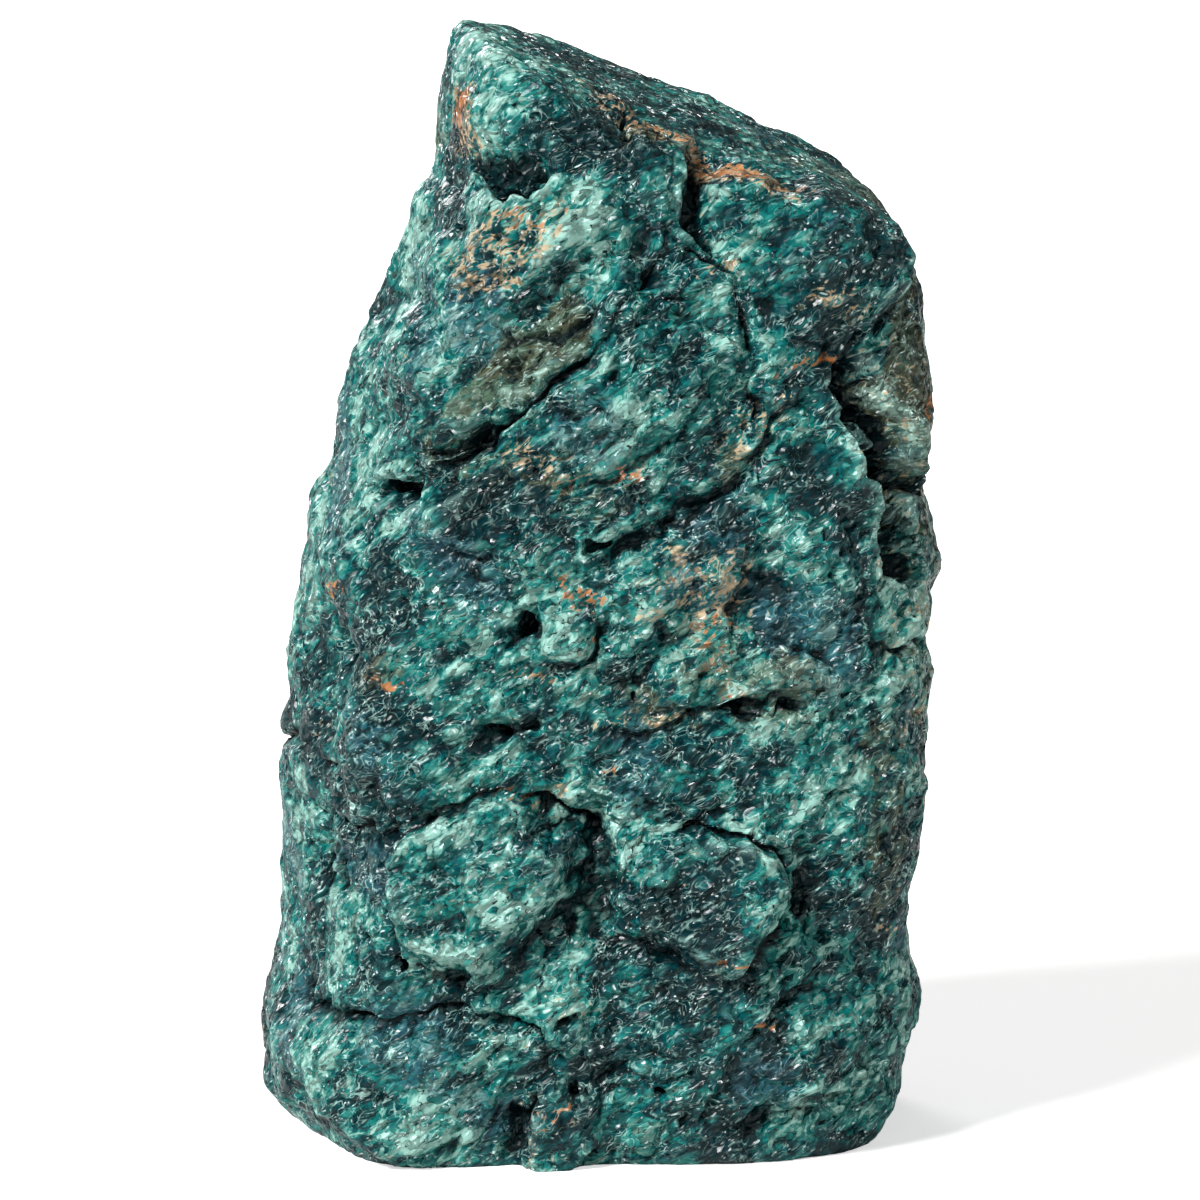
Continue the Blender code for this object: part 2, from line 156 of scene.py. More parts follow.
@dataclass(frozen=True)
class Lump:
    """A lump, or a hollow where lift is negative. The lower its square, the steeper its sides."""

    turn: float
    across: float
    up: float
    wide: float
    high: float
    lift: float
    lean: float = 0.0
    square: float = 1.0
    corners: int = 6
    reach: Pair = (0.75, 1.1)
    bevel: float = 1.5
    top_tilt: float = 0.3
    jitter: float = 0.3

    def share(self, skin: Skin) -> Array:
        """Its profile over a leaning, broken polygon: a tilted flat top, and a bevel down to each side.

        The polygon's gauge is the largest share of the way out to any of its sides, whose turns and distances
        are seeded by the lump's place. The bevel is 1 less the gauge, times the slope, clipped to the top.

        Args:
            skin: the skin that it stands on.

        Returns:
            About 1 at its middle, falling to 0 at its rim.
        """
        across, up, shown = skin.seen_from(self.turn)
        reach = 0.5 * max(self.wide, self.high) / self.reach[0]
        a, b = across - self.across, up - self.up
        near = np.flatnonzero((np.abs(a) < reach) & (np.abs(b) < reach) & (shown > 0.0))
        lean = math.radians(self.lean)
        along = 2.0 * (a[near] * math.cos(lean) + b[near] * math.sin(lean)) / self.wide
        over = 2.0 * (b[near] * math.cos(lean) - a[near] * math.sin(lean)) / self.high
        random = np.random.default_rng(abs(round(self.turn + 7 * self.across + 131 * self.up)))
        gauge = np.hypot(along, over) / self.reach[1]
        shift = random.uniform(-self.jitter, self.jitter, self.corners)
        for way in 2.0 * math.pi * ((np.arange(self.corners) + shift) / self.corners):
            distance = random.uniform(*self.reach)
            gauge = np.maximum(gauge, (along * math.cos(way) + over * math.sin(way)) / distance)
        tilt = random.uniform(-self.top_tilt, self.top_tilt, 2)
        top = 1.0 + tilt[0] * along + tilt[1] * over
        share = np.zeros(len(a))
        slope = self.bevel / self.square
        share[near] = shown[near] * np.clip(slope * (1.0 - gauge), 0.0, np.maximum(top, 0.0))
        return share

    def rise(self, skin: Skin) -> Array:
        """How far it lifts the skin: its lift times its share."""
        return self.lift * self.share(skin)


@dataclass(frozen=True)
class Crack:
    """A crack along points of (across, up): a slit in a groove, between a higher and a lower side.

    The depths of the groove and the slit are shares of deep, and the groove never closes past its least.
    """

    turn: float
    wide: float
    deep: float
    points: Pairs
    step: float = 1.2
    slit: float = 0.6
    fall: float = 7.0
    patch: float = 13.0
    opens: Pair = (-0.5, 0.6)
    groove_depth: float = 0.35
    least_groove: float = 0.4
    slit_depth: float = 0.8

    def rise(self, skin: Skin) -> Array:
        """Its height by the distance to its line: a step, less bells as wide as the groove and the slit.

        Both open and close along the crack with a swell, and the step fades out sideways in a bell.

        Args:
            skin: the skin that it runs over.

        Returns:
            The lift, 0 away from the crack.
        """
        across, up, shown = skin.seen_from(self.turn)
        ends = np.array(self.points)
        low, high = ends.min(axis=0) - self.fall, ends.max(axis=0) + self.fall
        inside = (across > low[0]) & (across < high[0]) & (up > low[1]) & (up < high[1]) & (shown > 0.0)
        near = np.flatnonzero(inside)
        gap = np.full(len(near), np.inf)
        side = np.zeros(len(near))
        for (a0, b0), (a1, b1) in zip(self.points, self.points[1:]):
            run = np.array((a1 - a0, b1 - b0))
            a, b = across[near] - a0, up[near] - b0
            part = np.clip((a * run[0] + b * run[1]) / (run @ run), 0.0, 1.0)
            away = np.hypot(a - part * run[0], b - part * run[1])
            closer = away < gap
            gap = np.where(closer, away, gap)
            side = np.where(closer, np.sign(run[0] * b - run[1] * a), side)
        opening = smooth_step(*self.opens, swell(skin.points[near], self.patch, round(self.deep * 10)))
        groove, slit, fall = bell(gap / self.wide), bell(gap / self.slit), bell(gap / self.fall)
        height = np.zeros(len(across))
        groove *= self.least_groove + (1.0 - self.least_groove) * opening
        sunk = self.deep * (self.groove_depth * groove + self.slit_depth * slit * opening)
        height[near] = shown[near] * (0.5 * self.step * side * fall - sunk)
        return height


@dataclass(frozen=True)
class Ledges:
    """Parallel ledges that lean over the region of a lump, one every pitch."""

    region: Lump
    pitch: float
    lean: float
    height: float
    wander: float = 0.25
    climb: float = 0.75
    wander_pitches: float = 5.0
    seed: int = 31

    def rise(self, skin: Skin) -> Array:
        """A saw tooth across the ledges: it climbs over three quarters of the pitch and drops in the last.

        Args:
            skin: the skin that they cross.

        Returns:
            The lift, about 0 on average.
        """
        across, up, _ = skin.seen_from(self.region.turn)
        lean = math.radians(self.lean)
        over = up * math.cos(lean) - across * math.sin(lean)
        wave = swell(skin.points, self.wander_pitches * self.pitch, self.seed)
        part = (over / self.pitch + self.wander * wave) % 1.0
        step = np.where(part < self.climb, part / self.climb, (1.0 - part) / (1.0 - self.climb))
        return self.height * (step - 0.5) * self.region.share(skin)


@dataclass(frozen=True)
class Blocks:
    """Broken blocks or grains of one size, each a tilted facet, a little domed, that meets its neighbours.

    With hollow set, the facets are scoops that meet in ridges, as where glassy stone flakes off.
    """

    size: float
    level: float
    tilt: float
    dome: float
    crisp: float
    seed: int
    hollow: bool = False
    lost: float = 0.0
    lost_depth: float = 0.0
    lean: float = 30.0
    stretch: float = 1.2
    bend: float = 0.22
    bend_sizes: float = 2.4
    steepest: float = 1.5
    hold: float = 0.85
    drop: float = 5.0
    tone_crisp: float = 3.0
    table: int = 4093
    hashing: tuple[int, int, int] = (7919, 104729, 1299709)

    def axes(self) -> Array:
        """Axes that lean with the stone's grain, stretched so that blocks are longer along it."""
        lean = math.radians(self.lean)
        along = np.array((math.cos(lean), 0.0, math.sin(lean))) / self.stretch
        over = np.array((-math.sin(lean), 0.0, math.cos(lean))) * self.stretch
        return np.stack((along, np.array((0.0, 1.0, 0.0)), over), axis=1)

    def rise(self, points: Array) -> tuple[Array, Array]:
        """The facets' soft upper envelope: log(sum of exp(crisp h)) / crisp over the near cells' heights h.

        A cell's height is its level, plus its tilt times the offset, less its dome times the offset squared
        and, past a hold, a steeper drop, so that no facet reaches past the cells beside its own.
        Its tone is random, and where facets meet, their tones mix by exp(3 crisp h).

        Args:
            points: places on the skin.

        Returns:
            The lift at each point, 0 on average, and the tone there, from -1 to 1.
        """
        random = np.random.default_rng(self.seed)
        place = random.random((self.table, 3))
        level = random.uniform(-0.5, 0.5, self.table) * self.level
        tilt = random.normal(size=(self.table, 3)) * self.tilt * self.size
        steepness = np.linalg.norm(tilt, axis=1, keepdims=True)
        tilt *= np.minimum(1.0, self.steepest * self.dome * self.size / steepness)
        level[random.random(self.table) < self.lost] -= self.lost_depth
        bend = [swell(points, self.bend_sizes * self.size, self.seed + i, 5) for i in range(3)]
        grid = (points / self.size + self.bend * np.stack(bend, axis=1)) @ self.axes()
        corner = np.floor(grid).astype(np.int64)
        tone = np.random.default_rng(self.seed + 1).uniform(-1.0, 1.0, self.table)
        total, weight, mixed = np.zeros((3, len(points)))
        near = range(-1, 2)
        for shift in ((x, y, z) for x in near for y in near for z in near):
            cell = corner + np.array(shift)
            key = (cell @ np.array(self.hashing)) % self.table
            offset = grid - cell - place[key]
            height = level[key] + np.einsum("ij,ij->i", offset, tilt[key])
            away = np.sqrt(np.einsum("ij,ij->i", offset, offset))
            height -= self.size * (self.dome * away**2 + self.drop * np.maximum(0.0, away - self.hold) ** 2)
            total += np.exp(self.crisp * height)
            share = np.exp(self.tone_crisp * self.crisp * height)
            weight += share
            mixed += share * tone[key]
        height = np.log(total) / self.crisp
        height -= height.mean()
        return -height if self.hollow else height, mixed / weight


@dataclass(frozen=True)
class Spread:
    """Where a tint lies: it strays over the whole stone where its swell is high, and has patches of its own.

    A patch is a row like a lump's, with the depth of colour as its lift.
    """

    pitch: float
    seed: int
    least: float
    gain: float
    patches: Rows
    rise: float = 1.2
    waves: int = 14
    patch_square: float = 0.5

    def depth(self, skin: Skin) -> Array:
        """The greater of the swell's smooth step and the patches' depths, at each point of the skin."""
        wave = swell(skin.points, self.pitch, self.seed, self.waves)
        depth = self.gain * smooth_step(self.least, self.least + self.rise, wave)
        for row in self.patches:
            depth = np.maximum(depth, Lump(*row, square=self.patch_square).rise(skin))
        return depth


@dataclass(frozen=True)
class BrokenForm:
    """The stone's large form: upright broken sides between four edge lines, and slanting faces.

    Each edge is the stone's reach to that side by height, as (height, reach). A side is (turn, distance in
    half widths) and a face is (turn, upward tilt, distance from the middle).
    """

    height: float = 220.0
    left: Pairs = (
        (0, -64.5), (8, -68), (20, -68.2), (40, -64.2), (62, -61.5), (76, -64.2), (98, -61.4),
        (118, -58), (130, -52.8), (142, -50.8), (158, -47.2), (174, -41.4), (183, -36.6), (189, -32.8),
        (202, -31.8), (212, -31), (218, -29.5), (224, -26.5),
    )
    right: Pairs = (
        (0, 57), (10, 60), (21, 61.5), (33, 62.7), (45, 62), (62, 63.7), (90, 65.7), (102, 66.5),
        (118, 66.3), (134, 63.7), (146, 66), (162, 65), (178, 61), (186, 57), (195, 54), (224, 47),
    )
    front: Pairs = (
        (0, -44), (12, -45.5), (40, -46), (80, -45), (120, -43.5), (160, -39.5), (185, -36), (200, -31),
        (212, -24), (224, -16),
    )
    back: Pairs = ((0, 43), (15, 45.5), (60, 46), (110, 44.5), (150, 41), (180, 36.5), (205, 30), (224, 22))
    sides: Pairs = (
        (2, 0.99), (-75, 0.99), (-47, 1.18), (-118, 1.04), (34, 1.17), (60, 1.16), (92, 1.0), (140, 1.16),
        (178, 0.99), (-146, 1.16),
    )
    faces: tuple[tuple[float, float, float], ...] = (
        (70, 66.4, 89.2), (88, 46, 97.2), (176, 50, 104), (0, -90, 110.5), (8, -62, 121), (180, -58, 119),
    )
    sharpness: float = 28.0
    softness: float = 5.0
    spine: tuple[tuple[float, float, float], ...] = ((-2.0, 1.0, 46.0), (4.0, 4.0, 150.0))
    furthest: float = 170.0

    def fullness(self, points: Array, sharpness: float) -> Array:
        """The stone's gauge: the power sum of the shares of the way out to each side and face.

        Args:
            points: places in or around the stone.
            sharpness: the power, which sets how sharp the edges between the sides are.

        Returns:
            Under 1 inside the stone, 1 on its skin and over 1 outside.
        """
        height = points[:, 2]
        edges = (self.left, self.right, self.front, self.back)
        left, right, front, back = (np.interp(height, *zip(*edge)) for edge in edges)
        across = (2.0 * points[:, 0] - left - right) / (right - left)
        away = (2.0 * points[:, 1] - front - back) / (back - front)
        total = np.zeros(len(points))
        for turn, distance in self.sides:
            out, _ = upright_axes(turn)
            share = (across * out[0] + away * out[1]) / distance
            total += np.maximum(0.0, share) ** sharpness
        for turn, tilt, distance in self.faces:
            out, _ = upright_axes(turn)
            lift = math.radians(tilt)
            normal = out * math.cos(lift) + np.array((0.0, 0.0, math.sin(lift)))
            share = (points - np.array((0.0, 0.0, self.height / 2.0))) @ normal / distance
            total += np.maximum(0.0, share) ** sharpness
        return total ** (1.0 / sharpness)

    def rays(self, turn: Array, path: Array) -> tuple[Array, Array]:
        """Rays that fan out of the spine: down and round its low end, out along it, and round its high end.

        Args:
            turn: radians from the front towards the right.
            path: -1 is straight down, 0 to 1 climbs the spine and 2 is straight up.

        Returns:
            The rays' origins and their unit directions.
        """
        low, high = (np.array(end) for end in self.spine)
        origin = low + np.clip(path, 0.0, 1.0)[:, None] * (high - low)
        tilt = math.pi / 2.0 * (np.clip(path, -1.0, 0.0) + np.clip(path - 1.0, 0.0, 1.0))
        ray = np.stack((np.cos(tilt) * np.sin(turn), -np.cos(tilt) * np.cos(turn), np.sin(tilt)), axis=1)
        return origin, ray

    def leave(self, origin: Array, ray: Array, halvings: int = 7, closings: int = 4) -> Array:
        """Where each ray leaves the stone: its bracket is halved, then closed in along the chord.

        Args:
            origin: the rays' origins.
            ray: the rays' unit directions.
            halvings: how often the bracket is halved.
            closings: how often the chord's crossing of 1 takes the place of an end.

        Returns:
            The length of each ray inside the stone.
        """

        def beyond(length: Array) -> Array:
            """How far the fullness is over 1 at a length of each ray."""
            return self.fullness(origin + ray * length[:, None], self.sharpness) - 1.0

        near, far = np.zeros(len(ray)), np.full(len(ray), self.furthest)
        for _ in range(halvings):
            middle = (near + far) / 2.0
            inside = beyond(middle) < 0.0
            near, far = np.where(inside, middle, near), np.where(inside, far, middle)
        below, above = beyond(near), beyond(far)
        for _ in range(closings):
            middle = near + (far - near) * below / (below - above)
            here = beyond(middle)
            inside = here < 0.0
            near, below = np.where(inside, middle, near), np.where(inside, here, below)
            far, above = np.where(inside, far, middle), np.where(inside, above, here)
        return near + (far - near) * below / (below - above)

    def normal(self, skin: Array, sharpness: float, step: float = 0.5) -> Array:
        """The outward unit normals: the fullness's rise over a step along each axis, at that sharpness."""
        here = self.fullness(skin, sharpness)
        slopes = [self.fullness(skin + shift, sharpness) - here for shift in step * np.eye(3)]
        slope = np.stack(slopes, axis=1)
        return slope / np.linalg.norm(slope, axis=1, keepdims=True)


# Each row is a lump's turn, across, up, wide, high, lift, lean and square
FRONT_LUMPS = (
    # From the top down: the cave under the top edge, the valley and the block beside it
    (0, -18, 194, 19, 13, -6.5, -8), (0, -2, 203, 34, 14, -3, -6), (0, -28, 203, 13, 22, 2.5, 8),
    (0, 22, 197, 12, 14, -4.5, 0, 0.7), (0, 19, 189, 8, 24, -5.5, 12, 0.7), (0, 9, 190, 9, 18, 2, 14, 0.6),
    (10, 41, 176, 36, 36, 6.5, 16, 0.6), (0, 33, 192, 16, 10, 2.5, 40), (0, -36, 178, 14, 30, 2, 22),
    (0, -38, 156, 16, 24, 3, 10),
    # The trough that runs down to the left, and the grooved slab below it
    (0, -6, 182, 38, 12, 2.5, 34), (0, -14, 166, 60, 16, -4.5, 38), (0, 12, 158, 46, 34, 4.5, 36, 0.6),
    (0, -28, 142, 18, 9, -4.5, 20), (0, -43, 132, 9, 8, -4, 10), (-10, -24, 128, 46, 12, 3, 32),
    (0, 14, 127, 40, 11, -3, 32),
    # The right edge: the lens, the deep pocket and the smooth hollow face
    (20, 42, 136, 25, 25, 3.5, 0, 0.5), (30, 33.5, 138, 14, 50, -13, 16, 0.45),
    (0, 35, 111, 22, 26, -3.5, 24, 0.7),
    # The middle band
    (0, -17, 106, 12, 12, -5, 30), (0, 8, 112, 26, 22, 2.5, 20), (-20, -38, 112, 30, 20, 3.5, 25),
    (-30, -36, 101, 15, 9, -5.5, 0), (0, 32, 92, 24, 7, -4.5, 6), (0, -24, 88, 22, 8, -3.5, 6),
    (0, -44, 82, 34, 22, 2, -6), (0, 12, 82, 34, 16, 2.5, 8),
    # The two domes, with the step to the right of the second one
    (0, -24, 58, 37, 38, 8, 0, 0.5), (0, 20, 57, 35, 30, 7.5, 0, 0.5), (0, -2, 60, 11, 36, -4),
    (0, 44, 56, 15, 26, -4, 4), (-24, -44, 58, 14, 22, -4.5, -10),
    # The lobes along the foot
    (-10, -36, 18, 46, 34, 4, 4, 0.7), (0, -9, 9, 17, 26, 3.5, -8, 0.7), (0, 28, 24, 56, 30, 3, -4, 0.7),
    (0, -6, 30, 16, 18, 3, 10), (0, -18, 6, 8, 18, -4, 6),
)

HIDDEN_LUMPS = (
    # The left side
    (-88, 2, 170, 44, 34, -3.5, 20), (-88, -14, 132, 40, 30, 0.8, 30), (-88, 16, 98, 40, 40, -3.5, 14),
    (-88, -8, 62, 48, 26, 1.2, 8), (-75, 4, 20, 60, 26, 4),
    # The back
    (180, 20, 178, 46, 34, -5.5, 24), (180, -24, 160, 50, 34, 5, -28, 0.6),
    (180, 26, 130, 64, 26, 4.5, 30, 0.6), (180, -10, 108, 70, 22, -6, 28),
    (180, -30, 74, 50, 44, 4.5, 10, 0.6), (180, 32, 70, 40, 46, -5, -10), (180, 6, 30, 60, 26, 4.5, 8, 0.6),
    # The right side
    (92, 10, 164, 40, 40, -2.2, 10), (92, -6, 118, 38, 26, 3), (92, 18, 86, 44, 36, -3, -14),
    (88, -8, 58, 34, 26, -2), (90, 4, 26, 54, 26, 3.5),
    # The slanting top
    (20, 4, 214, 40, 14, -2, -20),
)

PITS = (
    # Holes and small hollows of the front, from the top down
    (0, -19, 190.5, 13, 5, -3, -8, 0.6), (0, -30, 142.5, 12, 3.2, -4, 28, 0.6),
    (0, -41.6, 133, 3.6, 3.2, -4, 0, 0.5), (0, 0.8, 124.2, 8, 2.6, -3.2, -4, 0.5),
    (0, -17.5, 106.5, 5.4, 6, -4, 20, 0.5), (0, -21.5, 89.2, 5.6, 2.4, -3.6, -10, 0.5),
    (0, 4.6, 91.4, 1.8, 1.8, -2.2, 0, 0.5), (0, 29, 92.6, 9, 2.6, -3.6, 4, 0.5),
    (0, 38, 91.4, 5, 2.2, -3, 0, 0.5), (0, -41, 43.4, 3.4, 3.2, -4, 0, 0.5),
    (-20, -40, 55.5, 6.4, 6, -3.4, 0, 0.6), (-20, -49, 58, 3.4, 4.4, -3.6, 0, 0.5),
    (0, -7.3, 33.2, 3.6, 3, -3.4, 0, 0.5), (0, -5.3, 15, 3.4, 4, -3.4, 0, 0.5),
    (0, 11.5, 17.2, 3, 4.2, -3.4, 0, 0.5), (0, 17.4, 11, 3, 3, -3, 0, 0.5),
    (0, 37.2, 47, 2.4, 4.6, -3, 10, 0.5),
    # The pocket's black holes
    (30, 30.5, 150, 7, 14, -8, 14, 0.6), (30, 41, 132, 9, 9, -8, 10, 0.6),
    (30, 39.5, 117, 11, 8, -8, -6, 0.6), (30, 32, 141, 7, 9, 5, 10, 0.6), (30, 36, 125, 9, 6, 5, 0, 0.6),
)

CRACKS = (
    # The seam over the left dome, the arc over the right one, and the seam above the foot lobes
    Crack(0, 2.8, 5.5, ((-60, 68), (-39, 68), (-34, 74), (-24, 75.5), (-9, 74), (-3, 68))),
    Crack(0, 2.6, 5.0, ((4, 60), (9, 68), (20, 71), (29, 68), (36, 62), (37, 46))),
    Crack(0, 3.0, 5.5, ((-63, 30), (-50, 31.5), (-42, 33), (-24, 34), (-13, 31), (-9, 24), (-16, 10))),
    # The cracks by the valley and along the slab
    Crack(0, 1.8, 3.5, ((4, 203), (9, 201), (15, 202))),
    Crack(0, 2.0, 3.5, ((17, 181), (25, 174), (29, 165), (31, 157), (30, 149))),
    Crack(0, 2.2, 3.0, ((-38, 137), (-26, 142), (-12, 152), (2, 165), (10, 178))),
    Crack(0, 2.2, 3.0, ((14, 92), (24, 93), (34, 90), (46, 96))),
    # The hidden sides
    Crack(180, 3.0, 5.0, ((-50, 96), (-20, 112), (14, 118), (44, 140))),
    Crack(180, 2.8, 4.0, ((10, 14), (4, 40), (10, 62), (2, 96))),
    Crack(-90, 2.8, 4.0, ((-30, 74), (0, 80), (30, 78))),
    Crack(90, 2.8, 4.0, ((-34, 104), (-6, 102), (30, 110))),
)

LEDGES = (
    Ledges(Lump(0, -2, 146, 96, 80, 1, 32), 7.5, 33, 2.0),
    Ledges(Lump(-85, 0, 120, 90, 150, 1, 0), 14.0, 22, 1.0),
    Ledges(Lump(180, 0, 110, 130, 190, 1, 0), 15.0, 28, 2.4),
    Ledges(Lump(92, 0, 110, 90, 170, 1, 0), 13.0, -12, 1.0),
)

SMOOTH_FACES = (
    # Faces that broke clean through single large crystals
    (0, 35, 113, 17, 24, 1, 24, 0.4), (20, 42, 136, 22, 20, 1, 0, 0.4), (0, 16, 192, 8, 22, 1, 12, 0.5),
)

# What strays of each tint, by pitch, seed, least height of its swell and strength, and the tint's patches
SPREADS = {
    Tint.RUST: Spread(24.0, 75, 1.7, 0.7, (
        (0, -4.4, 113.1, 6.7, 8.6, 1, -60), (0, -41.6, 97.2, 14.9, 3, 1, -4),
        (0, -20.8, 75.1, 13.4, 3, 1, -6), (0, 24.4, 103.4, 14.4, 19.2, 0.6, -50),
        (0, 5.5, 137.2, 10.6, 5.3, 0.8, -25), (0, 42.6, 156.5, 22.1, 3.4, 1, 12),
        (70, -14, 198, 9, 30, 0.9, 0), (0, -29.1, 201, 19.2, 5, 1.6, 68),
        (0, -13.3, 183.8, 19.2, 10.6, 0.6, 20), (0, 64.9, 146.7, 4.8, 11, 1, 0),
        (0, 26.3, 44.8, 17.3, 3, 1, -4), (0, -9.7, 13, 13.4, 3.4, 0.6, -4), (0, 32.7, 29.9, 6.2, 3, 1, -20),
        (0, 3, 80.3, 12, 3, 1, -4), (0, -52.1, 111.9, 3, 7.2, 1, 10), (0, -6.7, 117.3, 3, 5.8, 1, 10),
        (0, -4, 105.1, 3, 5.8, 0.8, -30), (0, 22.8, 94.6, 16.8, 3, 0.8, -6),
    )),
    Tint.BUFF: Spread(26.0, 77, 1.1, 0.8, (
        (0, -14.3, 98, 14.6, 3.6, 1, 0), (0, -19.2, 178.8, 39, 15.6, 1, 28),
        (0, 22.8, 173.8, 6.8, 18.2, 1, -60), (0, -9.3, 137.6, 28.6, 10.4, 0.7, -20),
        (0, 20.4, 113.5, 28.6, 31.2, 0.8, -40), (0, 29.3, 145.7, 23.4, 15.6, 0.7, 20),
        (0, 8.5, 200.9, 13, 6.2, 0.8, 0), (0, -1.4, 214, 15.6, 4.2, 0.7, -20),
        (0, -28.1, 200, 20.8, 10.4, 1.2, 70), (70, -15, 198, 13, 34, 1.25, 0),
        (0, 44.2, 167.8, 18.2, 7.8, 0.7, -20), (0, 8.5, 89.4, 31.2, 4.2, 0.7, 10),
        (0, -16.2, 9, 10.4, 15.6, 0.7, 0), (90, -22, 110, 40, 150, 0.5, 8),
    )),
    Tint.OLIVE: Spread(46.0, 78, 0.7, 0.8, (
        (0, -16, 158, 46, 18, 1, 36), (0, 62, 156, 12, 60, 0.9, 0), (90, 0, 120, 90, 190, 0.75, 0),
        (0, 26, 138, 14, 12, 0.8, 20), (0, 22, 104, 26, 26, 0.6, -40), (0, 56, 70, 14, 70, 0.7, 0),
        (0, -8, 133, 26, 10, 0.6, -20), (0, 12, 92, 60, 10, 0.6, -8), (0, -14, 27, 24, 8, 0.5, -10),
    )),
    Tint.SLATE: Spread(34.0, 79, 0.4, 0.9, (
        (0, 14, 214, 80, 22, 1, -20), (0, -37, 170, 12, 42, 0.8, 8), (0, 20, 114, 26, 16, 0.9, -10),
        (0, 6, 80, 16, 30, 0.8, 0), (0, -48, 60, 30, 16, 0.8, 0), (0, 26, 130, 18, 18, 0.6, 30),
        (0, -44, 94, 24, 12, 0.6, 10),
    )),
    Tint.DEEP: Spread(30.0, 81, 0.4, 0.9, (
        (0, 42, 180, 30, 26, 1, 10), (0, 34, 111, 14, 22, 1, 24), (0, 43, 135, 22, 20, 0.9, 0),
        (0, -6, 198, 36, 14, 0.9, -6), (0, -16, 132, 44, 20, 0.6, 30), (0, -54, 110, 14, 20, 0.7, 0),
        (0, 18, 60, 30, 18, 0.5, 0), (0, 26, 22, 24, 14, 0.6, 0),
    )),
    Tint.MINT: Spread(24.0, 80, 0.5, 0.8, (
        (0, 14, 192, 10, 16, 0.7, 40), (0, 26, 146, 16, 18, 0.6, 0), (0, -6, 30, 22, 14, 0.7, 0),
        (0, -36, 156, 12, 30, 0.5, 10), (0, 28, 121, 34, 4, 0.6, 6),
    )),
}


@dataclass(frozen=True)
class Relief:
    """All that stands out of the broken faces or is sunk in them."""

    lumps: Rows = FRONT_LUMPS + HIDDEN_LUMPS + PITS
    ledges: tuple[Ledges, ...] = LEDGES
    cracks: tuple[Crack, ...] = CRACKS
    blocks: tuple[Blocks, ...] = (
        Blocks(34.0, 1.8, 0.09, 0.09, 1.5, 5, True),
        Blocks(14.0, 1.4, 0.20, 0.13, 4.0, 9),
    )
    grains: tuple[Blocks, ...] = (
        Blocks(6.5, 0.7, 0.27, 0.15, 8.0, 14, False, 0.03, 0.9),
        Blocks(2.8, 0.40, 0.30, 0.20, 16.0, 21, False, 0.07, 0.9),
    )
    swells: tuple[tuple[float, float, int], ...] = ((0.8, 60.0, 3), (0.5, 22.0, 4))
    smooth_faces: Rows = SMOOTH_FACES
    smooth_calm: float = 0.75
    underside_calm: float = 0.75
    side_calm: float = 0.8
    crown: Pair = (0.15, 0.55)
    zone_weight: float = 0.30
    zone_pitch: float = 32.0
    zone_seed: int = 11
    tone_weights: tuple[float, ...] = (0.24, 0.42, 0.34, 0.28)
    underside: Pair = (0.4, 0.9)

    def rise(self, skin: Skin) -> tuple[Array, Array]:
        """How far the skin stands out at each point: the sum of every feature, calmer on the underside.

        Args:
            skin: the skin on the broken faces.

        Returns:
            The lift of each point, and its tone: that of each size of block by its weight, and a wide swell.
        """
        total = np.zeros(len(skin.points))
        for height, pitch, seed in self.swells:
            total += height * swell(skin.points, pitch, seed)
        for feature in (*(Lump(*row) for row in self.lumps), *self.ledges, *self.cracks):
            total += feature.rise(skin)
        crown = smooth_step(*self.crown, skin.facing[:, 2])
        edge_on = 1.0 - self.side_calm * np.maximum(crown, 1.0 - skin.facing[:, 1] ** 2)
        tone = self.zone_weight * swell(skin.points, self.zone_pitch, self.zone_seed)
        calm = np.zeros(len(skin.points))
        for row in self.smooth_faces:
            calm = np.maximum(calm, Lump(*row).share(skin))
        grain_share = (1.0 - self.smooth_calm * calm) * np.sqrt(edge_on)
        shares = [edge_on] * len(self.blocks) + [grain_share] * len(self.grains)
        for blocks, share, weight in zip(self.blocks + self.grains, shares, self.tone_weights):
            lift, own = blocks.rise(skin.points)
            total += lift * share
            tone += weight * own
        below = smooth_step(*self.underside, -skin.normal[:, 2])
        return total * (1.0 - self.underside_calm * below), tone


def softened(grid: Array, reach: int) -> Array:
    """Each value's mean over a square of its neighbours, taken twice; the grid's columns run round the stone.

    Args:
        grid: values on the rows and columns of the skin.
        reach: how many neighbours each way are averaged.

    Returns:
        The means, on the same grid.
    """
    width = 2 * reach + 1
    for _ in range(2):
        for axis, mode in ((0, "edge"), (1, "wrap")):
            pads = [(0, 0), (0, 0)]
            pads[axis] = (reach + 1, reach)
            total = np.cumsum(np.pad(grid, pads, mode=mode), axis=axis)
            ahead = np.take(total, range(width, total.shape[axis]), axis=axis)
            behind = np.take(total, range(0, total.shape[axis] - width), axis=axis)
            grid = (ahead - behind) / width
    return grid


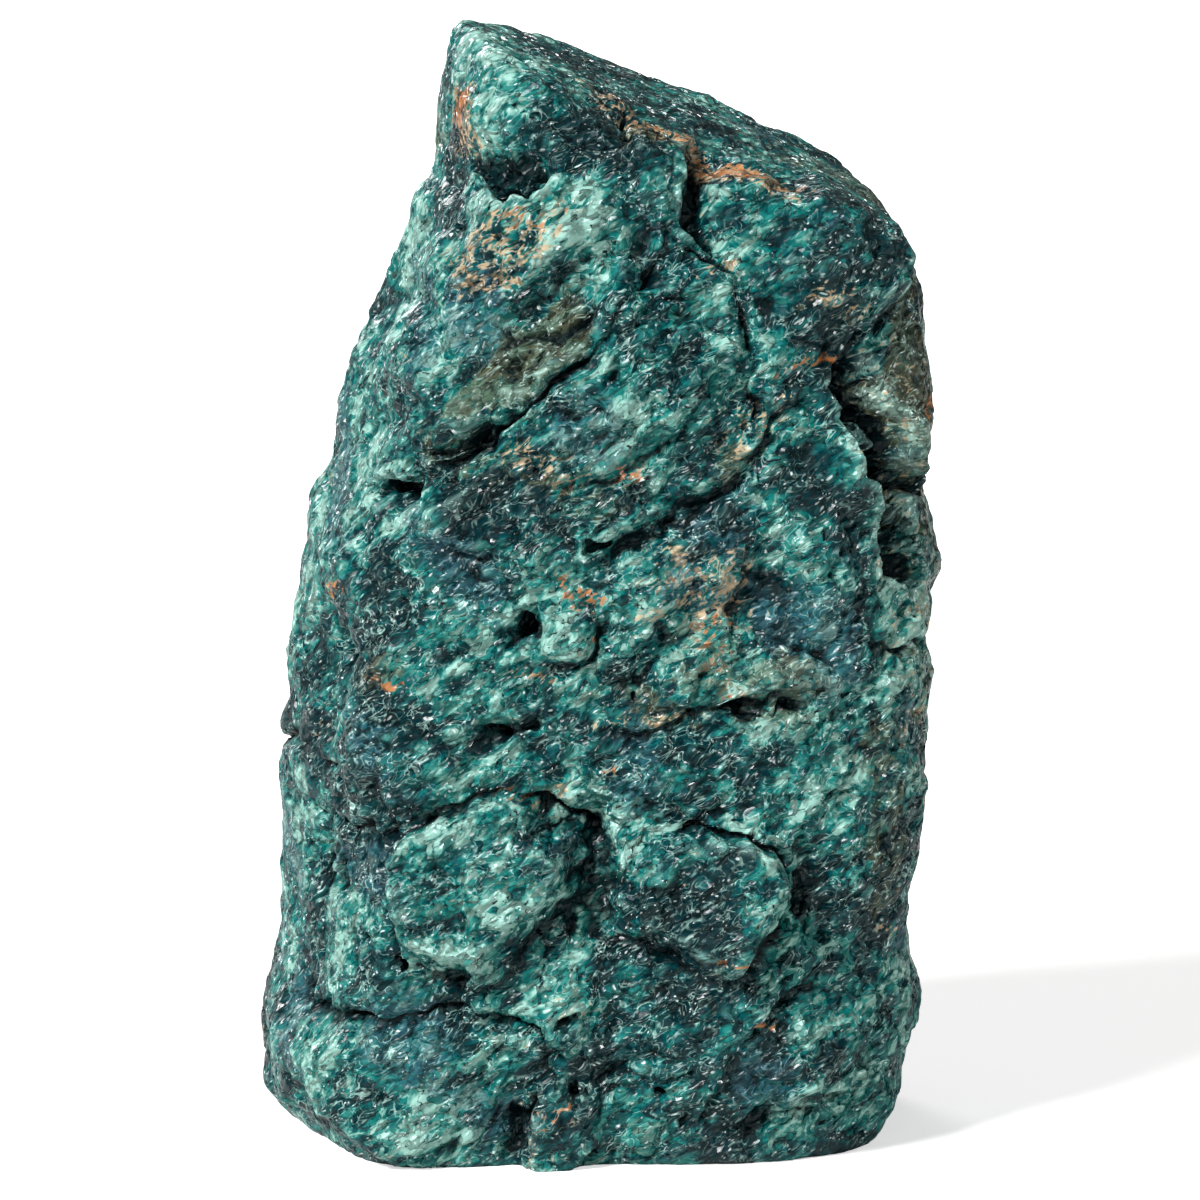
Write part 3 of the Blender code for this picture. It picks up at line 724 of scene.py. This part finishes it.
@dataclass
class ApatiteStone:
    """The stone itself: one closed skin, fine where the relief is and coarse on flat facets."""

    low: Array
    high: Array
    form: BrokenForm = field(default_factory=BrokenForm)
    relief: Relief = field(default_factory=Relief)
    columns: int = 760
    rows: int = 640
    front_weight: float = 1.8
    front_fade: Pair = (0.0, 0.5)
    underside_weight: float = 0.35
    level_slope: float = 0.5
    foot_cut: float = 2.4
    # How many neighbours each way the relief is compared with, for its fine and its wide part
    reaches: tuple[tuple[str, int], ...] = (("fine_relief", 5), ("wide_relief", 20))
    # The pitch, seed and waves of the clumps that specks gather in
    clump: tuple[float, int, int] = (9.0, 91, 16)
    triangles: int = 198000
    quick_share: float = 0.6

    def surface(self, turn: Array, path: Array) -> Array:
        """Where the rays leave the broken form."""
        origin, ray = self.form.rays(turn, path)
        return origin + ray * self.form.leave(origin, ray)[:, None]

    def even_turns(self, count: int, samples: int = 721) -> Array:
        """Turns whose steps along the section are even, and shorter on the front.

        Args:
            count: how many turns.
            samples: how many turns the section is measured at.

        Returns:
            The turns in radians, from the middle of the back round to it again.
        """
        turn = np.linspace(-math.pi, math.pi, samples)
        length = np.zeros(len(turn) - 1)
        for path in (0.0, 0.5, 1.0):
            points = self.surface(turn, np.full(len(turn), path))
            length += np.linalg.norm(np.diff(points, axis=0), axis=1)
        middle = (turn[1:] + turn[:-1]) / 2.0
        length *= 1.0 + (self.front_weight - 1.0) * smooth_step(*self.front_fade, np.cos(middle))
        along = np.concatenate(((0.0,), np.cumsum(length)))
        return np.interp(np.arange(count) / count * along[-1], along, turn)

    def even_paths(self, count: int, samples: int = 901) -> Array:
        """Paths up the stone whose steps along its skin are even, and longer on the underside.

        Args:
            count: how many paths, both poles left out.
            samples: how many paths the skin is measured at.

        Returns:
            The paths, from just over -1 to just under 2.
        """
        path = np.linspace(-1.0, 2.0, samples)
        length = np.zeros(len(path) - 1)
        for turn in np.radians((-90.0, 0.0, 90.0, 180.0)):
            step = np.diff(self.surface(np.full(len(path), turn), path), axis=0)
            distance = np.linalg.norm(step, axis=1)
            level = (step[:, 2] < self.level_slope * distance) & (path[1:] < 0.0)
            length += distance * np.where(level, self.underside_weight, 1.0)
        along = np.concatenate(((0.0,), np.cumsum(length)))
        return np.interp(np.arange(1, count + 1) / (count + 1.0) * along[-1], along, path)

    def skin_points(self, turn: Array, path: Array) -> tuple[Array, Array, Array, Skin]:
        """The finished skin: each ray's way out of the broken form, lengthened by the relief there.

        Args:
            turn: each ray's turn in radians.
            path: each ray's path up the stone.

        Returns:
            The points in metres in the frame's box, the relief, the tone and the skin under it.
        """
        origin, ray = self.form.rays(turn, path)
        length = self.form.leave(origin, ray)
        flat = origin + ray * length[:, None]
        sharp, soft = (self.form.normal(flat, power) for power in (self.form.sharpness, self.form.softness))
        skin = Skin(flat, sharp, soft)
        rise, tone = self.relief.rise(skin)
        points = origin + ray * (length + rise)[:, None]
        least, most = points.min(axis=0), points.max(axis=0)
        least[2] += self.foot_cut
        points[:, 2] = np.maximum(points[:, 2], least[2])
        points = self.low + (points - least) / (most - least) * (self.high - self.low)
        return points, rise, tone, skin

    def build(self) -> bpy.types.Object:
        """Makes the skin's mesh on a fine grid, gives it its colour patches and thins its flat facets out.

        Returns:
            The stone's object.
        """
        share = 1.0
        columns, rows = round(self.columns * share), round(self.rows * share)
        turns, paths = self.even_turns(columns), self.even_paths(rows)
        turn = np.concatenate((np.tile(turns, rows), (0.0, 0.0)))
        path = np.concatenate((np.repeat(paths, columns), (-1.0, 2.0)))
        points, rise, tone, skin = self.skin_points(turn, path)
        LOG.info("skin of %d points", len(points))
        mesh = grid_mesh("apatite_skin", points, rows, columns)
        # The relief's fine and wide parts and its lift are read by the material for painted light on crests
        # and painted shade in hollows and pockets
        spread = rise[:-2].reshape(rows, columns)
        for name, reach in self.reaches:
            values = spread - softened(spread, round(reach * share))
            add_attribute(mesh, name, np.concatenate((values.ravel(), (0.0, 0.0))))
        add_attribute(mesh, "tone", tone)
        add_attribute(mesh, "lift", rise)
        add_attribute(mesh, "clump", swell(skin.points, *self.clump))
        for tint in Tint:
            add_attribute(mesh, tint.value, SPREADS[tint].depth(skin))
        return self.thinned(placed("apatite_skin", mesh))

    def thinned(self, stone: bpy.types.Object) -> bpy.types.Object:
        """Collapses the edges that matter least until the skin has its count of triangles."""
        thinner = stone.modifiers.new("thin_out", "DECIMATE")
        thinner.ratio = min(1.0, self.triangles / len(stone.data.polygons))
        bpy.context.view_layer.update()
        seen = stone.evaluated_get(bpy.context.evaluated_depsgraph_get())
        made = bpy.data.meshes.new_from_object(seen)
        stone.modifiers.clear()
        earlier = stone.data
        stone.data = made
        bpy.data.meshes.remove(earlier)
        made.name = stone.name
        made.shade_smooth()
        LOG.info("%s thinned to %d triangles", stone.name, len(made.polygons))
        return stone


def grid_mesh(name: str, points: Array, rows: int, columns: int) -> bpy.types.Mesh:
    """A closed mesh from a grid whose columns run round, with a fan of triangles at each pole.

    Args:
        name: the mesh's name.
        points: the grid's points row by row, then the low pole and the high pole.
        rows: how many rows.
        columns: how many points each row has.

    Returns:
        The mesh, in triangles that face outwards.
    """
    index = np.arange(rows * columns).reshape(rows, columns)
    beside = np.roll(index, -1, axis=1)
    a, b, c, d = index[:-1], beside[:-1], beside[1:], index[1:]
    low, high = rows * columns, rows * columns + 1
    sides = np.stack((a, b, c, a, c, d), axis=-1).reshape(-1, 3)
    foot = np.stack((np.full(columns, low), beside[0], index[0]), axis=1)
    top = np.stack((index[-1], beside[-1], np.full(columns, high)), axis=1)
    faces = np.concatenate((sides, foot, top))
    mesh = bpy.data.meshes.new(name)
    mesh.vertices.add(len(points))
    mesh.vertices.foreach_set("co", points.ravel())
    mesh.loops.add(faces.size)
    mesh.loops.foreach_set("vertex_index", faces.ravel())
    mesh.polygons.add(len(faces))
    mesh.polygons.foreach_set("loop_start", np.arange(0, faces.size, 3))
    mesh.update(calc_edges=True)
    return mesh


def add_attribute(mesh: bpy.types.Mesh, name: str, values: Array) -> None:
    """Gives the mesh a value at each vertex that its material can read by name."""
    attribute = mesh.attributes.new(name, "FLOAT", "POINT")
    attribute.data.foreach_set("value", values.astype(np.float32))


def placed(name: str, data: bpy.types.ID) -> bpy.types.Object:
    """A new object of the scene with that data."""
    item = bpy.data.objects.new(name, data)
    bpy.context.scene.collection.objects.link(item)
    return item


# The values of the mesh that its material reads, besides the tints
VALUE_NAMES = ("tone", "lift", "clump", "fine_relief", "wide_relief")


def linear(colour: str) -> tuple[float, float, float, float]:
    """The linear colour of an sRGB hex value such as #1c5d5c."""
    shares = (int(colour[i : i + 2], 16) / 255.0 for i in (1, 3, 5))
    red, green, blue = (s / 12.92 if s <= 0.04045 else ((s + 0.055) / 1.055) ** 2.4 for s in shares)
    return red, green, blue, 1.0


def add_node(tree: bpy.types.NodeTree, kind: str, wires: dict[Any, Any], **settings: Any) -> Any:
    """Adds a node with its settings, and feeds its inputs.

    Args:
        tree: the node tree.
        kind: the node's type.
        wires: an output to link, or a value to set, by input name or number.
        settings: the node's own properties.

    Returns:
        The node.
    """
    node = tree.nodes.new(kind)
    for name, value in settings.items():
        setattr(node, name, value)
    for name, value in wires.items():
        if isinstance(value, bpy.types.NodeSocket):
            tree.links.new(value, node.inputs[name])
        else:
            node.inputs[name].default_value = value
    return node


@dataclass(frozen=True)
class Mix:
    """A pattern made of others: its start plus each one times its gain, read over its smooth rise.

    It is then multiplied by the pattern that times names.
    """

    start: float
    gains: dict[str, float]
    rise: Pair | None = None
    times: str = ""


# The noises: size in mm, octaves past the first, seed, roughness, and whether they give the grains' seams
NOISES = {
    "mottle": (4.5, 2.0, 47.0, 0.65, False),
    "fleck": (1.5, 2.0, 5.0, 0.6, False),
    "curl": (1.9, 1.0, 71.0, 0.5, True),
    "loop": (2.9, 1.0, 23.0, 0.5, True),
}

# The relief gains paint a little light on raised relief and a little shade in hollows
DEPTH_GAINS = dict(
    mottle=1.2, tone=0.56, grain=0.52, chip=0.26, fleck=0.40, wide_relief=0.03, fine_relief=0.10, deep=-0.44
)
STAIN_GAINS = dict(mottle=1.0, fleck=2.2, curl=-4.0, grain=0.5)

MIXES = {
    # The crystal's depth, from thick and dark to thin and pale, with a little painted light on raised relief
    # and painted shade in hollows, and its roughness, waxy with glassy chips
    "depth": Mix(-0.65, DEPTH_GAINS),
    "roughness": Mix(0.22, dict(chip=0.30)),
    # Veils of colour that fray out through the mottling
    "slate_veil": Mix(-0.95, dict(slate=0.72, mottle=0.8, fleck=1.0), (0.33, 0.63)),
    "mint_veil": Mix(-0.95, dict(mint=0.48, mottle=0.8, fleck=1.0), (0.33, 0.63)),
    "olive_veil": Mix(-0.95, dict(olive=0.75, mottle=0.8, fleck=1.0), (0.33, 0.63)),
    # Pale seams, which come in clumps and are partly the seams' own colour and partly painted highlight along
    # edges, and painted highlight on raised crests, broken up by the mottling; both are fainter in deep
    # crystal
    "net": Mix(0.0, dict(loop=1.0), (0.030, 0.006)),
    "thread": Mix(0.0, dict(curl=1.0), (0.032, 0.006)),
    "clumps": Mix(0.0, dict(fleck=1.6, clump=0.14), (0.55, 1.2)),
    "lines": Mix(0.0, dict(thread=0.7, net=0.65), None, "clumps"),
    "crest_highlight": Mix(-0.5, dict(mottle=1.0, fine_relief=0.35), (0.15, 0.80)),
    "shallow": Mix(1.0, dict(deep=-0.55)),
    "pale": Mix(0.0, dict(crest_highlight=0.26, lines=0.88), None, "shallow"),
    # Iron stains, which keep to the seams and to single grains
    "buff_stain": Mix(-2.36, dict(buff=1.0, **STAIN_GAINS), (0.0, 0.5)),
    "rust_stain": Mix(-2.36, dict(rust=1.0, **STAIN_GAINS), (0.0, 0.5)),
    # Painted glints: small bright specks in the middles of some of the chips, standing in for cleavage faces
    # that catch the light
    "glint_choice": Mix(0.0, dict(chip=1.0, clump=0.18), (0.55, 0.70)),
    "painted_glint": Mix(0.0, dict(off_middle=1.0), (0.26, 0.14), "glint_choice"),
    # Painted shade: darker in hollows of the relief, in the chinks between chips, deep in sunk pockets and in
    # hairline cracks
    "hollow": Mix(0.0, dict(fine_relief=1.0, wide_relief=0.30), (-0.45, -1.8)),
    "some_flecks": Mix(0.0, dict(fleck=1.0), (0.56, 0.42)),
    "chink_shade": Mix(0.0, dict(off_middle=1.0), (0.56, 0.74), "some_flecks"),
    "pocket": Mix(0.0, dict(lift=1.0, fleck=6.0), (-2.5, -6.5)),
    "few_flecks": Mix(0.0, dict(fleck=1.0), (0.51, 0.43)),
    "crack": Mix(0.0, dict(seam=1.0), (0.014, 0.004), "few_flecks"),
    "dark": Mix(0.0, dict(hollow=1.0, chink_shade=0.55, pocket=1.0, crack=1.0)),
}


class PatternMaker:
    """Adds the pattern nodes of one material. Places are object coordinates in millimetres.

    The axes lean with the stone's grain and are stretched along it, so every pattern streaks that way.
    """

    lean = math.radians(33.0)
    stretch = (1.45, 1.0, 0.80)
    wander = 1.6
    wander_size = 3.2

    def __init__(self, tree: bpy.types.NodeTree) -> None:
        """Works out the place, plain and as the grains' borders wander."""
        self.tree = tree
        spot = add_node(tree, "ShaderNodeTexCoord", {}).outputs["Object"]
        scale = tuple(TO_METRES * share for share in self.stretch)
        wires = {"Vector": spot, "Rotation": (0.0, -self.lean, 0.0), "Scale": scale}
        self.plain = add_node(tree, "ShaderNodeMapping", wires, vector_type="TEXTURE").outputs[0]
        wires = {"Vector": self.plain, "Scale": 1 / self.wander_size, "Detail": 0.0}
        noise = add_node(tree, "ShaderNodeTexNoise", wires).outputs["Color"]
        self.bent = self.vector("MULTIPLY_ADD", noise, (2 * self.wander,) * 3, self.plain)[0]

    def vector(self, operation: str, *values: Any) -> Any:
        """The outputs of one step of vector arithmetic."""
        wires = dict(enumerate(values))
        return add_node(self.tree, "ShaderNodeVectorMath", wires, operation=operation).outputs

    def number(self, operation: str, *values: Any) -> Any:
        """The result of one step of arithmetic."""
        return add_node(self.tree, "ShaderNodeMath", dict(enumerate(values)), operation=operation).outputs[0]

    def noise(self, size: float, detail: float, seed: float, rough: float, seams: bool) -> Any:
        """A noise, moved to its own part of the pattern, or its distance from the middle as bent seams."""
        moved = self.vector("ADD", self.bent if seams else self.plain, (seed,) * 3)[0]
        wires = {"Vector": moved, "Scale": 1 / size, "Detail": detail, "Roughness": rough}
        noise = add_node(self.tree, "ShaderNodeTexNoise", wires).outputs[0]
        return self.folded(noise) if seams else noise

    def folded(self, value: Any) -> Any:
        """How far a value is from one half."""
        return self.number("ABSOLUTE", self.number("SUBTRACT", value, 0.5))

    def cells(self, size: float) -> tuple[Any, Any]:
        """The outputs of bent cells of one size, and a random share for each cell."""
        cells = add_node(self.tree, "ShaderNodeTexVoronoi", {"Vector": self.bent, "Scale": 1 / size}).outputs
        return cells, add_node(self.tree, "ShaderNodeSeparateColor", {"Color": cells["Color"]}).outputs[2]

    def facets(self, cells: Any) -> Any:
        """The cells' heights, tilted at random: the colour less a half, times the way from the middle."""
        offset = self.vector("SUBTRACT", self.bent, cells["Position"])[0]
        tilt = self.vector("SUBTRACT", cells["Color"], (0.5, 0.5, 0.5))[0]
        return self.vector("DOT_PRODUCT", offset, tilt)["Value"]

    def read(self, name: str) -> Any:
        """A value of the mesh, by its name."""
        return add_node(self.tree, "ShaderNodeAttribute", {}, attribute_name=name).outputs["Fac"]

    def mix(self, mix: Mix, patterns: dict[str, Any]) -> Any:
        """Adds a mix of patterns.

        Args:
            mix: what is mixed.
            patterns: the outputs of the patterns that it names.

        Returns:
            Its output.
        """
        found: Any = mix.start
        for name, gain in mix.gains.items():
            found = self.number("MULTIPLY_ADD", patterns[name], gain, found)
        if mix.rise:
            wires = {"Value": found, "From Min": mix.rise[0], "From Max": mix.rise[1]}
            rise = add_node(self.tree, "ShaderNodeMapRange", wires, interpolation_type="SMOOTHSTEP")
            found = rise.outputs["Result"]
        return self.number("MULTIPLY", found, patterns[mix.times]) if mix.times else found

    def covered(self, share: Any, under: Any, over: str) -> Any:
        """The under colour covered by the over colour, a sRGB hex value."""
        wires = {0: share, 6: under, 7: linear(over)}
        return add_node(self.tree, "ShaderNodeMix", wires, data_type="RGBA").outputs[2]

    def ramp(self, value: Any, stops: Stops) -> Any:
        """The colour between stops of (share, sRGB hex value)."""
        node = add_node(self.tree, "ShaderNodeValToRGB", {"Fac": value})
        while len(node.color_ramp.elements) < len(stops):
            node.color_ramp.elements.new(0.5)
        for element, (spot, colour) in zip(node.color_ramp.elements, stops):
            element.position = spot
            element.color = linear(colour)
        return node.outputs["Color"]


@dataclass(frozen=True)
class ApatiteFinish:
    """Massive apatite, broken by hand and left rough: waxy teal grains, pale seams that are partly painted
    highlight, iron stains, and painted shade in chinks, hollows and pockets.

    Each grain has a teal of its own, and each chip of its skin catches the light in its own way. Real
    grains are 2 to 3 mm and chips about 1 mm, so those are the sizes here, in millimetres.
    """

    grain: float = 2.6
    chip: float = 1.15
    # Steep enough for single chips to flash
    chip_tilt: float = 2.2
    # Apatite's own index, with little of its gloss, because the skin is broken
    ior: float = 1.63
    specular: float = 0.16
    stops: Stops = (
        (0.20, "#01262b"), (0.42, "#02464a"), (0.61, "#056965"), (0.81, "#2f7c73"), (0.98, "#88b6aa"),
    )
    # What covers the teal: each layer's pattern, strength and colour, from the lowest up
    layers: tuple[tuple[str, float, str], ...] = (
        ("slate_veil", 0.66, "#2b5461"),
        ("mint_veil", 0.66, "#88b6aa"),
        ("olive_veil", 0.66, "#57563c"),
        # Pale seams, partly their own colour and partly painted highlight, and painted highlight on raised
        # crests
        ("pale", 1.0, "#acd4ca"),
        ("buff_stain", 0.85, "#bfa583"),
        ("rust_stain", 0.85, "#b5703c"),
        # Painted glints: near-white specks on some chip middles
        ("painted_glint", 0.8, "#e4f2f0"),
        # Painted shade in hollows, chinks between chips, deep pockets and hairline cracks
        ("dark", 0.9, "#02171b"),
    )

    def material(self) -> bpy.types.Material:
        """Builds the material.

        Returns:
            The material, which reads object coordinates and the skin's own attributes.
        """
        material = bpy.data.materials.new("apatite_rough_broken")
        material.use_nodes = True
        tree = material.node_tree
        tree.nodes.clear()
        maker = PatternMaker(tree)
        chips, chip = maker.cells(self.chip)
        patterns = {name: maker.read(name) for name in (*VALUE_NAMES, *(tint.value for tint in Tint))}
        patterns |= {name: maker.noise(*values) for name, values in NOISES.items()}
        patterns |= {"seam": maker.folded(patterns["mottle"]), "grain": maker.cells(self.grain)[1]}
        patterns |= {"chip": chip, "off_middle": chips["Distance"]}
        for name, mix in MIXES.items():
            patterns[name] = maker.mix(mix, patterns)
        colour = maker.ramp(patterns["depth"], self.stops)
        for pattern, strength, over in self.layers:
            colour = maker.covered(maker.number("MULTIPLY", patterns[pattern], strength), colour, over)
        height = maker.number("MULTIPLY", maker.facets(chips), self.chip_tilt)
        bump = add_node(tree, "ShaderNodeBump", {"Height": height, "Strength": 1.0, "Distance": TO_METRES})
        wires = {
            "Base Color": colour, "Roughness": patterns["roughness"], "Normal": bump.outputs["Normal"],
            "IOR": self.ior, "Specular IOR Level": self.specular,
        }
        shader = add_node(tree, "ShaderNodeBsdfPrincipled", wires)
        add_node(tree, "ShaderNodeOutputMaterial", {"Surface": shader.outputs["BSDF"]})
        return material


@dataclass(frozen=True)
class SoftSun:
    """A distant soft lamp: the way that its light comes from, its width in degrees and its strength."""

    name: str
    source: tuple[float, float, float]
    width: float
    strength: float


@dataclass(frozen=True)
class Studio:
    """A pale floor under white light, and the camera at the photograph's angle. Lengths are metres."""

    floor_colour: str = "#e9e9e7"
    floor_size: float = 12.0
    floor_glow: float = 0.58
    floor_roughness: float = 0.9
    white: str = "#ffffff"
    sky: float = 0.16
    lamps: tuple[SoftSun, ...] = (
        SoftSun("key_lamp", (-0.66, -0.60, 0.82), 14.0, 5.1),
        SoftSun("side_lamp", (0.85, -0.55, 0.35), 25.0, 0.45),
        SoftSun("back_lamp", (-0.35, 0.90, 0.40), 20.0, 1.3),
    )
    focal_length: float = 174.0
    distance: float = 1.15
    elevation: float = 10.0
    aim: tuple[float, float, float] = (0.0006, 0.0, 0.1057)

    def build_floor(self) -> bpy.types.Object:
        """A level white sheet under the stone, with a glow that only the camera sees, as on a light table."""
        half = self.floor_size / 2.0
        corners = [(-half, -half, 0.0), (half, -half, 0.0), (half, half, 0.0), (-half, half, 0.0)]
        mesh = bpy.data.meshes.new("studio_floor")
        mesh.from_pydata(corners, [], [(0, 1, 2, 3)])
        material = bpy.data.materials.new("light_table_white")
        material.use_nodes = True
        tree = material.node_tree
        shader = tree.nodes["Principled BSDF"]
        shader.inputs["Base Color"].default_value = linear(self.floor_colour)
        shader.inputs["Roughness"].default_value = self.floor_roughness
        shader.inputs["Emission Color"].default_value = linear(self.white)
        path = add_node(tree, "ShaderNodeLightPath", {})
        wires = {0: path.outputs["Is Camera Ray"], 1: self.floor_glow}
        glow = add_node(tree, "ShaderNodeMath", wires, operation="MULTIPLY")
        tree.links.new(glow.outputs[0], shader.inputs["Emission Strength"])
        mesh.materials.append(material)
        floor = placed("studio_floor", mesh)
        return floor

    def build_lamps(self) -> None:
        """The lamps and the surroundings: plain white to the eye, and a dimmer sky to the stone."""
        world = bpy.data.worlds.new("white_studio")
        world.use_nodes = True
        tree = world.node_tree
        path = add_node(tree, "ShaderNodeLightPath", {})
        wires = {"Value": path.outputs["Is Camera Ray"], "To Min": self.sky}
        seen = add_node(tree, "ShaderNodeMapRange", wires)
        tree.links.new(seen.outputs["Result"], tree.nodes["Background"].inputs["Strength"])
        tree.nodes["Background"].inputs["Color"].default_value = linear(self.white)
        bpy.context.scene.world = world
        for lamp in self.lamps:
            light = bpy.data.lights.new(lamp.name, "SUN")
            light.angle = math.radians(lamp.width)
            light.energy = lamp.strength
            turned = Vector(lamp.source).to_track_quat("Z", "Y").to_euler()
            placed(lamp.name, light).rotation_euler = turned

    def build_camera(self) -> bpy.types.Object:
        """The camera in front of the stone, a little above its middle."""
        lens = bpy.data.cameras.new("camera")
        lens.lens = self.focal_length
        camera = placed("camera", lens)
        tilt = math.radians(self.elevation)
        back = Vector((0.0, -math.cos(tilt), math.sin(tilt)))
        camera.location = Vector(self.aim) + self.distance * back
        camera.rotation_euler = (-back).to_track_quat("-Z", "Y").to_euler()
        bpy.context.scene.camera = camera
        return camera

    def build(self) -> None:
        """Sets up the studio."""
        self.build_floor()
        self.build_lamps()
        self.build_camera()
        bpy.context.scene.view_settings.view_transform = "Standard"


def main() -> None:
    """Builds the stone's skin in place of the plain solid, and the studio around it."""
    logging.basicConfig(level=logging.INFO, format="%(message)s")
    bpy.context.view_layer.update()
    low, high = (np.array(corner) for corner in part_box(NODE))
    stone = ApatiteStone(low, high).build()
    stone.data.materials.append(ApatiteFinish().material())
    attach(stone, BODY)
    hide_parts(NODE)
    LOG.info("%s: %d triangles", stone.name, len(stone.data.polygons))
    Studio().build()


if __name__ == "__main__":
    main()
